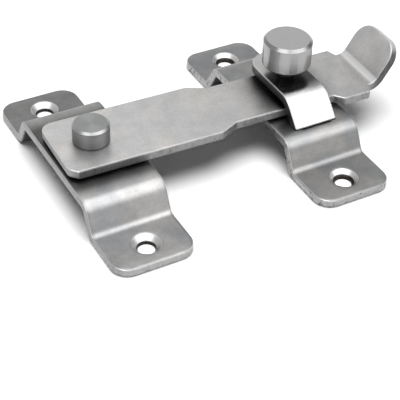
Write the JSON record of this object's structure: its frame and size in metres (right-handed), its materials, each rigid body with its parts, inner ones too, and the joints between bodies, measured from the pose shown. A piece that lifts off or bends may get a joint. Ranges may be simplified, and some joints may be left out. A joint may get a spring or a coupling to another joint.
{
  "type": "barn door latch",
  "caption": "Flip latch for a barn door: a flat bar turns on a headed pin and drops into a hook-shaped keeper, where a push knob locks it.",
  "frame": {"origin": "on the pivot pin's axis, in the plane of the brackets' undersides", "axes": "+X from the pivot pin to the keeper, +Y to the keeper's open side, which is up on a door, +Z away from the door"},
  "size_m": [0.1069, 0.082, 0.0294],
  "materials": {
    "bracket_steel": "satin",
    "bar_steel": "satin",
    "keeper_steel": "satin",
    "turned_steel": "turned",
    "washer_steel": "plain"
  },
  "bodies": {
    "base": {"pivot_bracket": "bracket_steel", "catch_bracket": "bracket_steel", "pivot_pin": "turned_steel", "pivot_washer": "washer_steel", "keeper_hook": "keeper_steel"},
    "bar": {"latch_bar": "bar_steel"},
    "lock": {"locking_pin": "turned_steel", "lock_knob": "turned_steel"}
  },
  "joints": [
    {"name": "bar_swing", "type": "hinge", "parent": "base", "child": "bar", "pos_m": [0, 0, 0.01255], "axis": [0, 0, 1], "range_deg": [0, 334]},
    {"name": "lock_push", "type": "slide", "parent": "base", "child": "lock", "axis": [0, 0, 1], "range_m": [-0.0032, 0]}
  ]
}
